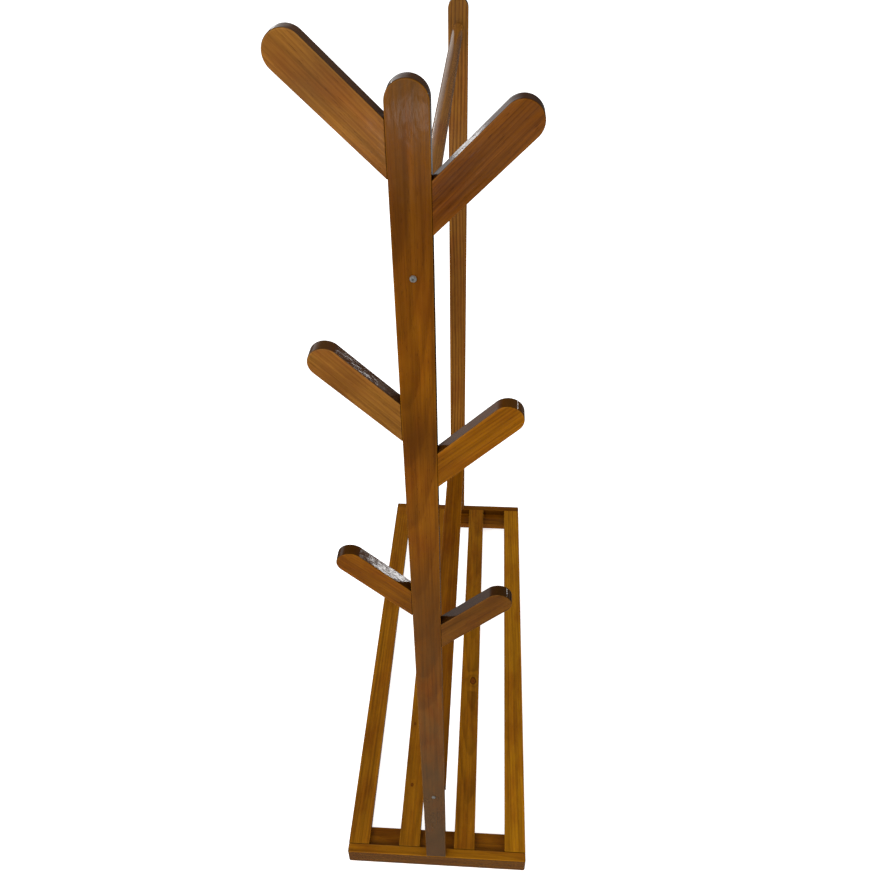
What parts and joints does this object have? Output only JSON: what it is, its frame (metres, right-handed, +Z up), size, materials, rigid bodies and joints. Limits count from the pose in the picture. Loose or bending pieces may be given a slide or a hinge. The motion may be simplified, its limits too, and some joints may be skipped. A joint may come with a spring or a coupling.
{
  "type": "standing coat rack",
  "caption": "Standing wooden coat rack: tall post with slanted round-ended arms, shorter plain post, round hanging rail, flat lower rail and slatted base.",
  "frame": {"origin": "on the floor under the middle of the base's rectangle", "axes": "+Z up, +Y along the base from the tree post to the plain post, +X to the right seen from the tree post's end"},
  "size_m": [0.37, 1.0388, 1.605],
  "materials": {
    "post_pine": "gloss varnish over amber brown stain",
    "arm_pine": "gloss varnish over amber brown stain",
    "rail_pine": "gloss varnish over amber brown stain",
    "base_pine": "gloss varnish over amber brown stain",
    "dowel_beech": "bare, glued",
    "screw_steel": "zinc plated",
    "pad_felt": "pressed felt"
  },
  "bodies": {
    "root": {"front_post": "post_pine", "rear_post": "post_pine", "arm_left_top": "arm_pine", "arm_left_middle": "arm_pine", "arm_left_bottom": "arm_pine", "arm_right_top": "arm_pine", "arm_right_middle": "arm_pine", "arm_right_bottom": "arm_pine", "hanging_rail": "rail_pine", "lower_rail": "rail_pine", "slat_left_outer": "base_pine", "slat_left_inner": "base_pine", "slat_right_inner": "base_pine", "slat_right_outer": "base_pine", "front_end_bar": "base_pine", "rear_end_bar": "base_pine", "front_cleat": "base_pine", "rear_cleat": "base_pine", "arm_dowels": "dowel_beech", "cleat_dowels": "dowel_beech", "rail_screws": "screw_steel", "slat_screws": "screw_steel", "post_screws": "screw_steel", "foot_pads": "pad_felt"}
  },
  "joints": []
}
